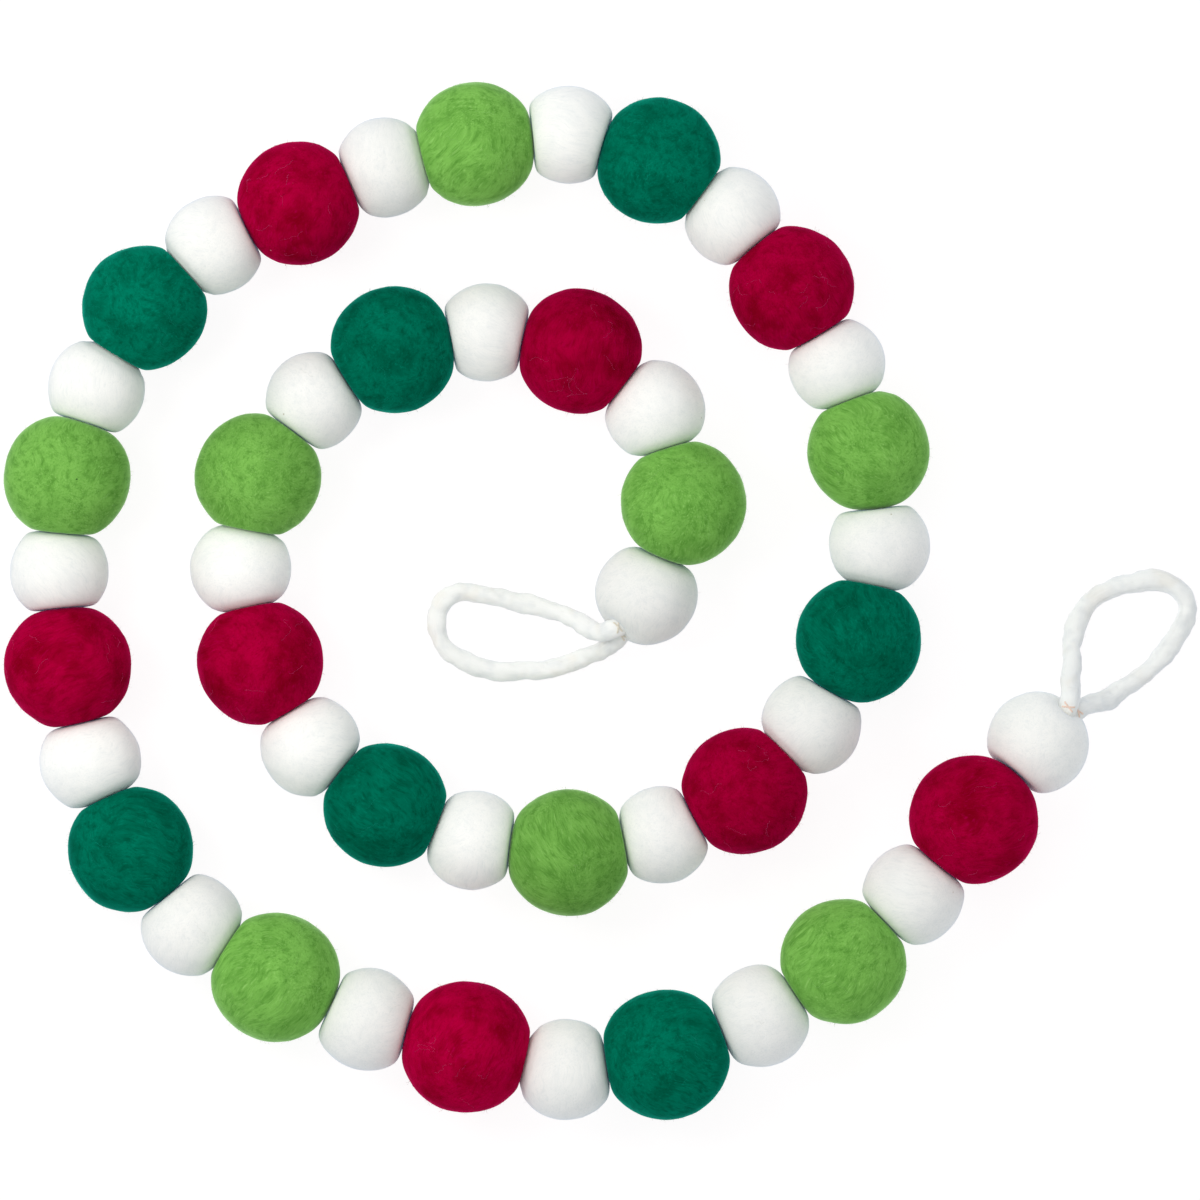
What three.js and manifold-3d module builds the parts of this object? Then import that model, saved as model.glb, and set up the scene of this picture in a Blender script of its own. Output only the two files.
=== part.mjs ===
import * as THREE from 'three';
import { mergeVertices } from 'three/addons/utils/BufferGeometryUtils.js';
import Module from 'manifold-3d';

// Felt garland: pressed wool balls on a string, laid out in an open spiral, with a hanging loop of wool
// cord at each end. Millimetres, +Z up, lying on z = 0. The string starts at the spiral's inner end.

const wasm = await Module();
wasm.setup();

// Balls
const BALL_COUNT = 47;
const COLOURED_RADIUS = 23.5;
const WHITE_RADIUS = 18.6;
const SIZE_SPREAD = 0.012;
const SIZE_RHYTHM = 2.4;
const USUAL_PITCH = 35.4;
const PITCH_EFFECT = 0.5; // share of a longer pitch that comes from larger balls
const COLOURED_SHARE = 0.6; // share of the way from ball to ball that lies in the coloured one
const RESTING_HEIGHT = 0.95; // height of a resting ball's centre, over its radius
const WHITE_SAG = 1.5; // inner white balls hang this far below their neighbours
const PRESS_SHARPNESS = 16;
const BALL_GAP = 0.3;
const BALL_RINGS = 10;
const COLOURED_SEGMENTS = 14;
const WHITE_SEGMENTS = 12;

// String
const STRING_RADIUS = 0.8;
const CHANNEL_RADIUS = 1.25;
const CHANNEL_OVERRUN = 1.5;
const CORD_SIDES = 8;

// Loops
const LOOP_RADIUS = 3.4;
const LOOP_STEPS = 44;
const LOOP_PRESS = 0.84; // distance of the dimple at a loop's root from the ball's centre, over its radius
const INNER_LOOP_SIDE = new THREE.Vector3(-0.69, -0.72, 0).normalize();
const OUTER_LOOP_SIDE = new THREE.Vector3(0.63, 0.78, 0).normalize();

// Spiral: its radius along the turns, in degrees, and the distance from ball to ball there
const COIL_CENTRE = new THREE.Vector3(-25.07, 4.02, 0);
const FIRST_TURN = -1.4;
const SEARCH_REACH = 0.08; // of the whole spiral
const SEARCH_STEPS = 40;
const COIL = [
  { turn: -30, radius: 39, pitch: 37.0 },
  { turn: 0, radius: 63.5, pitch: 37.0 },
  { turn: 23, radius: 83, pitch: 36.4 },
  { turn: 46, radius: 94, pitch: 35.9 },
  { turn: 68, radius: 97, pitch: 35.5 },
  { turn: 130, radius: 94.5, pitch: 35.3 },
  { turn: 153, radius: 93.5, pitch: 35.2 },
  { turn: 200, radius: 86.5, pitch: 36.5 },
  { turn: 246, radius: 88, pitch: 35.2 },
  { turn: 268, radius: 93.5, pitch: 36.1 },
  { turn: 306, radius: 114, pitch: 35.1 },
  { turn: 338, radius: 134, pitch: 36.1 },
  { turn: 366, radius: 150.5, pitch: 35.8 },
  { turn: 392, radius: 158, pitch: 33.4 },
  { turn: 404, radius: 162.5, pitch: 34.8 },
  { turn: 427, radius: 174, pitch: 34.8 },
  { turn: 439, radius: 174, pitch: 35.2 },
  { turn: 451, radius: 167, pitch: 35.1 },
  { turn: 475, radius: 160, pitch: 35.2 },
  { turn: 494, radius: 164.5, pitch: 35.1 },
  { turn: 524, radius: 160.5, pitch: 35.3 },
  { turn: 550, radius: 157, pitch: 36.3 },
  { turn: 589, radius: 165.5, pitch: 36.9 },
  { turn: 602, radius: 164, pitch: 37.9 },
  { turn: 628, radius: 171, pitch: 38.4 },
  { turn: 640, radius: 182.5, pitch: 37.6 },
  { turn: 651, radius: 187, pitch: 38.2 },
  { turn: 685, radius: 198.5, pitch: 36.0 },
  { turn: 695, radius: 204, pitch: 37.8 },
  { turn: 705, radius: 217.5, pitch: 38.0 },
  { turn: 715, radius: 236, pitch: 38.0 },
];

// Middle of each loop's cord as x, y, z, from its root on top of the other one round to that one
const INNER_LOOP = [
  [23.9, -10.4, 18.8],
  [20.4, -11.7, 17.4],
  [16.4, -10.6, 14.2],
  [9.8, -6.5, 8.6],
  [3.8, -3.8, 5.4],
  [-6.0, -1.6, 3.7],
  [-16.8, 0.7, 3.6],
  [-25.8, 2.6, 3.6],
  [-33.0, 3.3, 3.6],
  [-38.2, 0.7, 3.6],
  [-41.2, -5.3, 3.6],
  [-41.2, -11.7, 3.6],
  [-38.2, -17.7, 3.6],
  [-30.7, -23.0, 3.6],
  [-22.1, -26.0, 3.6],
  [-12.3, -26.4, 3.6],
  [-1.5, -26.0, 3.7],
  [7.5, -23.9, 4.2],
  [15.4, -20.9, 6.0],
  [20.0, -18.9, 8.2],
  [23.4, -16.4, 10.6],
  [27.1, -12.9, 12.6],
];
const OUTER_LOOP = [
  [195.8, -38.7, 19.0],
  [196.5, -34.2, 17.6],
  [196.9, -26.0, 12.4],
  [197.7, -16.2, 6.8],
  [199.5, -9.1, 4.4],
  [204.4, -0.8, 3.6],
  [211.9, 4.4, 3.6],
  [221.7, 6.7, 3.6],
  [230.7, 7.4, 3.6],
  [237.0, 4.8, 3.6],
  [240.8, -0.8, 3.6],
  [239.7, -9.1, 3.6],
  [234.8, -16.2, 3.6],
  [228.0, -24.5, 3.6],
  [220.2, -30.8, 4.1],
  [211.9, -36.3, 6.8],
  [204.2, -39.4, 10.8],
  [198.9, -41.2, 12.8],
];

const WOOL = {
  white: { color: 0xe9ebe6, roughness: 0.95, metalness: 0 },
  lime: { color: 0x6ca24a, roughness: 0.95, metalness: 0 },
  red: { color: 0x92032b, roughness: 0.95, metalness: 0 },
  green: { color: 0x04644c, roughness: 0.95, metalness: 0 },
  cord: { color: 0xf0f1ee, roughness: 0.95, metalness: 0 },
  thread: { color: 0xe4e1d8, roughness: 0.8, metalness: 0 },
};
const COLOURED_ORDER = ['lime', 'red', 'green'];

const coilCurve = new THREE.CatmullRomCurve3(
  COIL.map((row) => new THREE.Vector3(row.turn, row.radius, row.pitch)),
);

// Place and pitch at a share of the whole spiral.
function coilAt(share) {
  const { x: turn, y: radius, z: pitch } = coilCurve.getPoint(share);
  const angle = THREE.MathUtils.degToRad(turn);
  const point = new THREE.Vector3(Math.cos(angle), Math.sin(angle), 0);
  point.multiplyScalar(radius).add(COIL_CENTRE);
  return { turn, point, pitch };
}

// Halves the stretch from low to high until it closes on the place where isBefore turns false.
function search(low, high, isBefore) {
  let near = low;
  let far = high;
  for (let step = 0; step < SEARCH_STEPS; step += 1) {
    const middle = (near + far) / 2;
    if (isBefore(coilAt(middle))) {
      near = middle;
    } else {
      far = middle;
    }
  }
  return near;
}

function firstShare() {
  return search(0, SEARCH_REACH, (place) => place.turn < FIRST_TURN);
}

// Share at which the spiral is one pitch away from the ball at the given share.
function nextShare(share) {
  const { point, pitch } = coilAt(share);
  return search(share, share + SEARCH_REACH, (place) => place.point.distanceTo(point) < pitch);
}

function placeBalls() {
  const balls = [];
  let share = firstShare();
  for (let number = 1; number <= BALL_COUNT; number += 1) {
    const white = number % 2 === 1;
    const colour = white ? 'white' : COLOURED_ORDER[(number / 2 - 1) % COLOURED_ORDER.length];
    const { point, pitch } = coilAt(share);
    const growth = 1 + PITCH_EFFECT * (pitch / USUAL_PITCH - 1);
    const wobble = 1 + SIZE_SPREAD * Math.sin(SIZE_RHYTHM * number);
    const radius = (white ? WHITE_RADIUS : COLOURED_RADIUS) * growth * wobble;
    const atEnd = number === 1 || number === BALL_COUNT;
    const name = `ball_${String(number).padStart(2, '0')}_${colour}`;
    point.z = RESTING_HEIGHT * radius;
    balls.push({ name, colour, white, resting: !white || atEnd, radius, centre: point, presses: [] });
    share = nextShare(share);
  }
  for (const [index, ball] of balls.entries()) {
    if (!ball.resting) {
      ball.centre.z = (balls[index - 1].centre.z + balls[index + 1].centre.z) / 2 - WHITE_SAG;
    }
  }
  return balls;
}

// Flattens a ball towards a direction, so that its skin lies at the given distance there.
function pressBall(ball, direction, distance) {
  const sharp = -PRESS_SHARPNESS;
  const reach = (distance ** sharp - ball.radius ** sharp) ** (1 / sharp);
  ball.presses.push({ direction, reach });
}

// Presses neighbours together and returns the points where the string passes from ball to ball.
function pressNeighbours(balls) {
  const passages = [];
  for (let index = 0; index + 1 < balls.length; index += 1) {
    const ball = balls[index];
    const next = balls[index + 1];
    const along = next.centre.clone().sub(ball.centre);
    const room = along.length() - BALL_GAP;
    const share = ball.white ? 1 - COLOURED_SHARE : COLOURED_SHARE;
    along.normalize();
    pressBall(ball, along, share * room);
    pressBall(next, along.clone().negate(), (1 - share) * room);
    passages.push(ball.centre.clone().addScaledVector(along, share * room + BALL_GAP / 2));
  }
  return passages;
}

// Dimple at a loop's root. Returns the point where the string comes out of the end ball.
function pressRoot(ball, side) {
  const distance = LOOP_PRESS * ball.radius;
  pressBall(ball, side, distance);
  return ball.centre.clone().addScaledVector(side, distance);
}

function skinRadius(ball, direction) {
  let sum = ball.radius ** -PRESS_SHARPNESS;
  for (const press of ball.presses) {
    const facing = Math.max(direction.dot(press.direction), 0);
    sum += (facing / press.reach) ** PRESS_SHARPNESS;
  }
  return sum ** (-1 / PRESS_SHARPNESS);
}

// A closed ball with its poles up and down. A resting one has a small flat spot on z = 0.
function ballGeometry(ball) {
  const segments = ball.white ? WHITE_SEGMENTS : COLOURED_SEGMENTS;
  const geometry = new THREE.SphereGeometry(1, segments, BALL_RINGS);
  const heading = ball.presses[ball.presses.length - 1].direction;
  geometry.rotateX(Math.PI / 2);
  geometry.rotateZ(Math.atan2(heading.y, heading.x));
  const position = geometry.getAttribute('position');
  const point = new THREE.Vector3();
  for (let index = 0; index < position.count; index += 1) {
    point.fromBufferAttribute(position, index).normalize();
    point.multiplyScalar(skinRadius(ball, point)).add(ball.centre);
    point.z = Math.max(point.z, 0);
    position.setXYZ(index, point.x, point.y, point.z);
  }
  return geometry;
}

function toSolid(geometry) {
  const bare = geometry.clone();
  bare.deleteAttribute('normal');
  bare.deleteAttribute('uv');
  const merged = mergeVertices(bare);
  return new wasm.Manifold(
    new wasm.Mesh({
      numProp: 3,
      vertProperties: new Float32Array(merged.getAttribute('position').array),
      triVerts: new Uint32Array(merged.getIndex().array),
    }),
  );
}

function toGeometry(solid) {
  const mesh = solid.getMesh();
  const geometry = new THREE.BufferGeometry();
  geometry.setAttribute('position', new THREE.BufferAttribute(mesh.vertProperties, mesh.numProp));
  geometry.setIndex(new THREE.BufferAttribute(mesh.triVerts, 1));
  geometry.computeVertexNormals();
  return geometry;
}

// Needle channel through a ball, from where the string enters to where it leaves.
function channelGeometry(entry, exit) {
  const along = exit.clone().sub(entry);
  const length = along.length() + 2 * CHANNEL_OVERRUN;
  const geometry = new THREE.CylinderGeometry(CHANNEL_RADIUS, CHANNEL_RADIUS, length, CORD_SIDES);
  const turn = new THREE.Quaternion();
  turn.setFromUnitVectors(new THREE.Vector3(0, 1, 0), along.normalize());
  geometry.applyQuaternion(turn);
  const middle = entry.clone().lerp(exit, 0.5);
  geometry.translate(middle.x, middle.y, middle.z);
  return geometry;
}

// A path of straight runs, with equal steps of its parameter from corner to corner.
class StraightRuns extends THREE.Curve {
  constructor(corners) {
    super();
    this.corners = corners;
  }

  getPoint(share, target = new THREE.Vector3()) {
    const place = share * (this.corners.length - 1);
    const run = Math.min(Math.max(Math.floor(place), 0), this.corners.length - 2);
    return target.lerpVectors(this.corners[run], this.corners[run + 1], place - run);
  }

  getPointAt(share, target) {
    return this.getPoint(share, target);
  }

  getTangentAt(share, target) {
    return this.getTangent(share, target);
  }
}

function cordGeometry(path, radius, steps) {
  const section = [];
  for (let side = 0; side < CORD_SIDES; side += 1) {
    const angle = (2 * Math.PI * side) / CORD_SIDES;
    section.push(new THREE.Vector2(radius * Math.cos(angle), radius * Math.sin(angle)));
  }
  const shape = new THREE.Shape(section);
  return new THREE.ExtrudeGeometry(shape, { extrudePath: path, steps });
}

function loopPath(rows) {
  const points = rows.map((row) => new THREE.Vector3(...row));
  return new THREE.CatmullRomCurve3(points, false, 'centripetal');
}

function part(name, geometry, wool) {
  const mesh = new THREE.Mesh(geometry, new THREE.MeshStandardMaterial(WOOL[wool]));
  mesh.name = name;
  return mesh;
}

function strungBalls(balls, corners) {
  return balls.map((ball, index) => {
    const channel = toSolid(channelGeometry(corners[index], corners[index + 1]));
    const bored = toSolid(ballGeometry(ball)).subtract(channel);
    return part(ball.name, toGeometry(bored), ball.colour);
  });
}

const balls = placeBalls();
const passages = pressNeighbours(balls);
const innerEnd = pressRoot(balls[0], INNER_LOOP_SIDE);
const outerEnd = pressRoot(balls[BALL_COUNT - 1], OUTER_LOOP_SIDE);
const stringCorners = [innerEnd, ...passages, outerEnd];

const garland = new THREE.Group();
garland.add(...strungBalls(balls, stringCorners));
garland.add(part('string', cordGeometry(new StraightRuns(stringCorners), STRING_RADIUS, BALL_COUNT), 'thread'));
garland.add(part('loop_inner', cordGeometry(loopPath(INNER_LOOP), LOOP_RADIUS, LOOP_STEPS), 'cord'));
garland.add(part('loop_outer', cordGeometry(loopPath(OUTER_LOOP), LOOP_RADIUS, LOOP_STEPS), 'cord'));

export default garland;
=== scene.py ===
import math
import random

import bpy
from mathutils import Euler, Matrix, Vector, noise
from mathutils.bvhtree import BVHTree


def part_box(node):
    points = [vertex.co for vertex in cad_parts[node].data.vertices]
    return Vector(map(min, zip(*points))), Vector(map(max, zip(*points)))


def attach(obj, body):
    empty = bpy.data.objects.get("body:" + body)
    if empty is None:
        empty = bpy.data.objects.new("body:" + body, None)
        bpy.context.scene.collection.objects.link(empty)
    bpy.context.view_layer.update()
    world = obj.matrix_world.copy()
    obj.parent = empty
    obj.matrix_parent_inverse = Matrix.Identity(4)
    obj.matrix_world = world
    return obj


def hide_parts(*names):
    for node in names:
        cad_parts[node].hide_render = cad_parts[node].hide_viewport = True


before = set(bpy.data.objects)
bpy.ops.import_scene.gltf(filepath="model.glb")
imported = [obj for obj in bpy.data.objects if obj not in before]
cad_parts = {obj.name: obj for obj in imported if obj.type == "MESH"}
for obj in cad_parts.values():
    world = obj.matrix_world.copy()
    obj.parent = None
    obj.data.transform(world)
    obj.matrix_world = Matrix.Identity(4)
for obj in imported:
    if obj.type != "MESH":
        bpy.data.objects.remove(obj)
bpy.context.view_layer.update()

mm = 0.001
print("frame loaded with", len(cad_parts), "nodes")


# Camera, straight above as in the photo, with a long lens.

view = {
    "middle": (19.9 * mm, 0.3 * mm),    # the point under the photo's centre
    "width": 450 * mm,                  # what the photo's frame spans
    "focusHeight": 20 * mm,             # height at which it spans that, near the balls' middles
    "distance": 4.0,
    "sensorWidth": 36.0,
}


def makeCamera():
    lens = bpy.data.cameras.new("overheadCamera")
    lens.sensor_width = view["sensorWidth"]
    lens.lens = view["sensorWidth"] * view["distance"] / view["width"]
    lens.clip_start = 0.1
    lens.clip_end = 50.0
    camera = bpy.data.objects.new("overheadCamera", lens)
    camera.location = (*view["middle"], view["focusHeight"] + view["distance"])
    bpy.context.scene.collection.objects.link(camera)
    bpy.context.scene.camera = camera


makeCamera()


# Node helpers that the materials and the fibre trees share.

def feed(tree, socket, value):
    if isinstance(value, bpy.types.NodeSocket):
        tree.links.new(value, socket)
    else:
        socket.default_value = value


def feedAll(tree, node, values):
    for key, value in values.items():
        feed(tree, node.inputs[key], value)


def addNode(tree, kind, inputs=None, **settings):
    node = tree.nodes.new(kind)
    for key, value in settings.items():
        setattr(node, key, value)
    feedAll(tree, node, inputs or {})
    return node


def calc(tree, operation, *values):
    node = addNode(tree, "ShaderNodeMath", operation=operation)
    for socket, value in zip(node.inputs, values):
        feed(tree, socket, value)
    return node.outputs[0]


def vectorCalc(tree, operation, *values, scale=None):
    node = addNode(tree, "ShaderNodeVectorMath", operation=operation)
    for socket, value in zip(node.inputs, values):
        feed(tree, socket, value)
    if scale is not None:
        feed(tree, node.inputs["Scale"], scale)
    return node.outputs[0]


def stepped(tree, value, low, high, toLow=0.0, toHigh=1.0):
    node = addNode(tree, "ShaderNodeMapRange", {0: value, 1: low, 2: high, 3: toLow, 4: toHigh},
                   interpolation_type="SMOOTHSTEP")
    return node.outputs[0]


def mixed(tree, share, first, second):
    node = addNode(tree, "ShaderNodeMix", data_type="RGBA")
    for socket, value in zip((node.inputs[0], node.inputs[6], node.inputs[7]), (share, first, second)):
        feed(tree, socket, value)
    return node.outputs[2]


def noiseAt(tree, place, scale, detail=2.0, roughness=0.5, output="Fac"):
    node = addNode(tree, "ShaderNodeTexNoise", {"Vector": place, "Scale": scale, "Detail": detail,
                                                "Roughness": roughness})
    return node.outputs[output]


def newMaterial(name):
    material = bpy.data.materials.new(name)
    material.use_nodes = True
    return material, material.node_tree, material.node_tree.nodes["Principled BSDF"]


def opaque(colour):
    return (*colour, 1.0)


def tinted(tree, colour, value, edge, share, tint):    # tints the colour where value passes the edge
    return mixed(tree, calc(tree, "MULTIPLY", stepped(tree, value, *edge), share), colour, opaque(tint))


def attribute(tree, name, output="Fac"):
    return addNode(tree, "ShaderNodeAttribute", attribute_name=name).outputs[output]


# Felted wool. The pattern reads "felt", each ball's own place in millimetres, so no two balls match.

feltPattern = {
    "swirlScale": 0.06, "swirlReach": 11.0,     # how the fibre direction wanders
    "lays": (                                   # turn of each lay of fibres, its fineness and its stretch
        ((0.3, 0.2, 0.5), 1.25, 0.12),
        ((1.3, 0.9, 2.1), 1.5, 0.11),
        ((2.3, 1.9, 0.9), 2.1, 0.14),
    ),
    "swapScale": 0.05, "swapEdge": (0.4, 0.6),  # where the first lay gives way to the second
    "crossLay": 0.38,                           # share of the third lay
    "patchScale": 0.085, "patchEdge": (0.40, 0.76),
    "mottleTurn": (0.8, 0.4, 1.3), "mottleScale": (0.13, 0.36, 0.36), "mottleEdge": (0.40, 0.78),
    "darkFibres": (0.50, 0.36), "lightFibres": (0.52, 0.68),
    "speckScale": 0.45, "speckEdge": (0.20, 0.10),
    "grainScale": 2.6, "grainHeight": 0.22, "bumpDepth": 0.07 * mm,
    "roughness": 0.92, "sheenRoughness": 0.28,
}

woolLooks = {
    "white": {
        "slot": "white_wool", "spread": 0.05, "bump": 0.8,
        "main": (0.91, 0.905, 0.878), "dark": (0.77, 0.79, 0.785), "light": (0.94, 0.935, 0.92),
        "patches": 0.22, "mottles": 0.42, "streaks": 0.50, "grain": 0.05,
        "speck": (0.60, 0.56, 0.48), "specks": 0.05, "sheen": 0.36, "sheenTint": (0.42, 0.66, 1.0),
    },
    "lime": {
        "slot": "lime_wool", "spread": 0.13, "bump": 0.6,
        "main": (0.190, 0.450, 0.082), "dark": (0.078, 0.245, 0.030), "light": (0.30, 0.58, 0.15),
        "patches": 0.45, "mottles": 0.80, "streaks": 0.55, "grain": 0.16,
        "speck": (0.04, 0.11, 0.025), "specks": 0.05, "sheen": 0.85, "sheenTint": (0.62, 0.92, 0.52),
    },
    "red": {
        "slot": "red_wool", "spread": 0.13, "bump": 0.5,
        "main": (0.388, 0.0, 0.035), "dark": (0.190, 0.0, 0.006), "light": (0.47, 0.0, 0.085),
        "patches": 0.85, "mottles": 0.60, "streaks": 0.40, "grain": 0.10,
        "speck": (0.60, 0.12, 0.20), "specks": 0.03, "sheen": 0.55, "sheenTint": (0.82, 0.04, 0.26),
    },
    "green": {
        "slot": "green_wool", "spread": 0.10, "bump": 0.5,
        "main": (0.0, 0.155, 0.090), "dark": (0.0, 0.066, 0.034), "light": (0.002, 0.230, 0.145),
        "patches": 0.65, "mottles": 0.80, "streaks": 0.50, "grain": 0.12,
        "speck": (0.08, 0.34, 0.25), "specks": 0.03, "sheen": 0.72, "sheenTint": (0.04, 0.68, 0.56),
    },
}


def fibreLay(tree, place, turn, fineness, stretch):
    turned = addNode(tree, "ShaderNodeMapping", {"Vector": place, "Rotation": turn,
                                                 "Scale": (fineness * stretch, fineness, fineness)})
    return noiseAt(tree, turned.outputs[0], 1.0, 3.0, 0.6)


def fibreHeights(tree, place, swirled):    # two lays that take turns, crossed by a third
    first, second, cross = (fibreLay(tree, swirled, *lay) for lay in feltPattern["lays"])
    share = stepped(tree, noiseAt(tree, place, feltPattern["swapScale"], 1.0), *feltPattern["swapEdge"])
    pair = calc(tree, "ADD", calc(tree, "MULTIPLY", first, share),
                calc(tree, "MULTIPLY", second, calc(tree, "SUBTRACT", 1.0, share)))
    return calc(tree, "ADD", calc(tree, "MULTIPLY", pair, 1.0 - feltPattern["crossLay"]),
                calc(tree, "MULTIPLY", cross, feltPattern["crossLay"]))


def feltMaterial(wool):
    look = woolLooks[wool]
    material, tree, shader = newMaterial(wool + "FeltedWool")
    place = attribute(tree, "felt", "Vector")
    swirl = noiseAt(tree, place, feltPattern["swirlScale"], 1.0, output="Color")
    swirl = vectorCalc(tree, "SUBTRACT", swirl, (0.5, 0.5, 0.5))
    swirl = vectorCalc(tree, "SCALE", swirl, scale=feltPattern["swirlReach"])
    swirled = vectorCalc(tree, "ADD", place, swirl)
    fibres = fibreHeights(tree, place, swirled)
    patch = noiseAt(tree, place, feltPattern["patchScale"], 2.5, 0.55)
    stretched = addNode(tree, "ShaderNodeMapping", {"Vector": swirled, "Rotation": feltPattern["mottleTurn"],
                                                    "Scale": feltPattern["mottleScale"]})
    mottle = noiseAt(tree, stretched.outputs[0], 1.0, 3.0, 0.6)
    grain = noiseAt(tree, place, feltPattern["grainScale"])
    dots = addNode(tree, "ShaderNodeTexVoronoi", {"Vector": place, "Scale": feltPattern["speckScale"]})
    specks = calc(tree, "LESS_THAN", dots.outputs["Color"], look["specks"])    # the share of dots that show

    colour = opaque(look["main"])
    colour = tinted(tree, colour, patch, feltPattern["patchEdge"], look["patches"], look["dark"])
    colour = tinted(tree, colour, mottle, feltPattern["mottleEdge"], look["mottles"], look["dark"])
    colour = tinted(tree, colour, fibres, feltPattern["darkFibres"], look["streaks"], look["dark"])
    colour = tinted(tree, colour, fibres, feltPattern["lightFibres"], look["streaks"], look["light"])
    colour = tinted(tree, colour, dots.outputs["Distance"], feltPattern["speckEdge"], specks, look["speck"])
    level = calc(tree, "ADD", attribute(tree, "shade"),
                 calc(tree, "MULTIPLY_ADD", grain, look["grain"] * 2, 1.0 - look["grain"]))
    height = calc(tree, "ADD", fibres, calc(tree, "MULTIPLY", grain, feltPattern["grainHeight"]))
    bump = addNode(tree, "ShaderNodeBump", {"Strength": look["bump"], "Distance": feltPattern["bumpDepth"],
                                            "Height": height})
    feedAll(tree, shader, {
        "Base Color": vectorCalc(tree, "SCALE", colour, scale=level), "Normal": bump.outputs["Normal"],
        "Roughness": feltPattern["roughness"], "Specular IOR Level": 0.0, "Sheen Weight": look["sheen"],
        "Sheen Roughness": feltPattern["sheenRoughness"], "Sheen Tint": opaque(look["sheenTint"])})
    return material


feltOf = {wool: feltMaterial(wool) for wool in woolLooks}


def plainWool(name, colour, grainScale, grain):    # grain is how far the shade swings either way
    material, tree, shader = newMaterial(name)
    spots = noiseAt(tree, addNode(tree, "ShaderNodeTexCoord").outputs["Object"], grainScale, 3.0)
    level = calc(tree, "MULTIPLY_ADD", spots, grain * 2, 1.0 - grain)
    feedAll(tree, shader, {"Base Color": vectorCalc(tree, "SCALE", colour, scale=level),
                           "Roughness": 0.9, "Specular IOR Level": 0.0})
    return material


# Shapes that follow a route: the wool loops and the string.

def smoothRoute(points, spacing):    # a centripetal curve through the points, cut into even steps
    steps = 16    # from each point to the next, before the even cut
    ends = [2 * points[0] - points[1], *points, 2 * points[-1] - points[-2]]
    fine = []
    for before, start, end, after in zip(ends, ends[1:], ends[2:], ends[3:]):
        leadIn, stretch, leadOut = (
            (far - near).length ** 0.5 for near, far in ((before, start), (start, end), (end, after)))
        leave = (start - before) / leadIn - (end - before) / (leadIn + stretch) + (end - start) / stretch
        arrive = (end - start) / stretch - (after - start) / (stretch + leadOut) + (after - end) / leadOut
        leave, arrive = leave * stretch, arrive * stretch
        for step in range(steps):
            t = step / steps
            fine.append(start + leave * t + (3 * (end - start) - 2 * leave - arrive) * t ** 2
                        + (2 * (start - end) + leave + arrive) * t ** 3)
    fine.append(points[-1])
    return evenSteps(fine, spacing)


def evenSteps(fine, spacing):
    lengths = [0.0]
    for near, far in zip(fine, fine[1:]):
        lengths.append(lengths[-1] + (far - near).length)
    count = max(2, round(lengths[-1] / spacing))
    even = []
    segment = 0
    for step in range(count + 1):
        along = lengths[-1] * step / count
        while segment < len(fine) - 2 and lengths[segment + 1] < along:
            segment += 1
        part = (along - lengths[segment]) / (lengths[segment + 1] - lengths[segment])
        even.append(fine[segment].lerp(fine[segment + 1], min(part, 1.0)))
    return even


def addMesh(name, vertices, faces, material, smooth=True):
    mesh = bpy.data.meshes.new(name)
    mesh.from_pydata(vertices, [], faces)
    mesh.materials.append(material)
    mesh.polygons.foreach_set("use_smooth", [smooth] * len(mesh.polygons))
    mesh.update()
    piece = bpy.data.objects.new(name, mesh)
    bpy.context.scene.collection.objects.link(piece)
    return piece


def setAttribute(piece, name, kind, values):
    layer = piece.data.attributes.new(name, kind, "POINT")
    key = "vector" if kind == "FLOAT_VECTOR" else "value"
    flat = [number for value in values for number in value] if key == "vector" else values
    layer.data.foreach_set(key, flat)


tubeClearance = 0.05 * mm    # of the surface, for a tube that lies on it


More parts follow.
